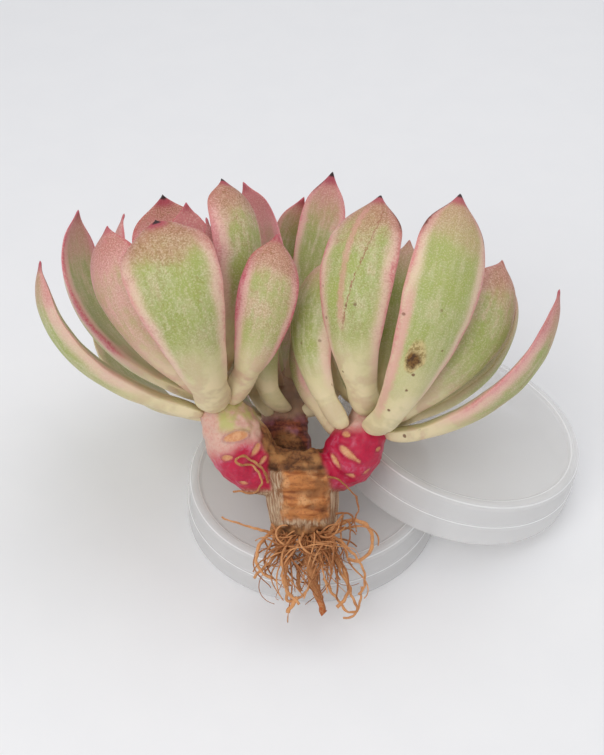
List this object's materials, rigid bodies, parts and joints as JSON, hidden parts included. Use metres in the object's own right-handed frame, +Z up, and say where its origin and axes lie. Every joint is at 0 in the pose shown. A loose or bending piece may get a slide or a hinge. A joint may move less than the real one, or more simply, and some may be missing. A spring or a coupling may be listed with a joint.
{
  "type": "bare-root succulent on plastic lids",
  "caption": "Bare-root rosette succulent with thick pointed leaves in three heads on one short trunk, leaning back on two upturned round plastic lids.",
  "frame": {"origin": "on the floor, under the middle of the object's bounding box", "axes": "+Z up; +X to the plant's right as seen from the front, towards the tilted lid; the roots face -Y and the plant leans back towards +Y"},
  "size_m": [0.1452, 0.105, 0.0979],
  "materials": {
    "leaf_skin": "satin",
    "bark": "matte",
    "root_fibre": "matte",
    "frosted_plastic": "satin"
  },
  "bodies": {
    "root": {"leaf_back_01": "leaf_skin", "leaf_back_02": "leaf_skin", "leaf_back_03": "leaf_skin", "leaf_back_04": "leaf_skin", "leaf_back_05": "leaf_skin", "leaf_back_06": "leaf_skin", "leaf_back_07": "leaf_skin", "leaf_back_08": "leaf_skin", "leaf_back_09": "leaf_skin", "leaf_back_10": "leaf_skin", "leaf_back_11": "leaf_skin", "leaf_back_12": "leaf_skin", "leaf_left_01": "leaf_skin", "leaf_left_02": "leaf_skin", "leaf_left_03": "leaf_skin", "leaf_left_04": "leaf_skin", "leaf_left_05": "leaf_skin", "leaf_left_06": "leaf_skin", "leaf_left_07": "leaf_skin", "leaf_left_08": "leaf_skin", "leaf_left_09": "leaf_skin", "leaf_left_10": "leaf_skin", "leaf_left_11": "leaf_skin", "leaf_left_12": "leaf_skin", "leaf_left_13": "leaf_skin", "leaf_left_14": "leaf_skin", "leaf_left_15": "leaf_skin", "leaf_left_16": "leaf_skin", "leaf_right_01": "leaf_skin", "leaf_right_02": "leaf_skin", "leaf_right_03": "leaf_skin", "leaf_right_04": "leaf_skin", "leaf_right_05": "leaf_skin", "leaf_right_06": "leaf_skin", "leaf_right_07": "leaf_skin", "leaf_right_08": "leaf_skin", "leaf_right_09": "leaf_skin", "leaf_right_10": "leaf_skin", "leaf_right_11": "leaf_skin", "leaf_right_12": "leaf_skin", "leaf_right_13": "leaf_skin", "leaf_right_14": "leaf_skin", "lid_flat": "frosted_plastic", "lid_tilted": "frosted_plastic", "root_back": "root_fibre", "root_left": "root_fibre", "root_left_curl": "root_fibre", "root_left_thin": "root_fibre", "root_main": "root_fibre", "root_middle": "root_fibre", "root_right": "root_fibre", "root_right_loop": "root_fibre", "root_right_thin": "root_fibre", "root_stub": "root_fibre", "stem": "bark"}
  },
  "joints": []
}
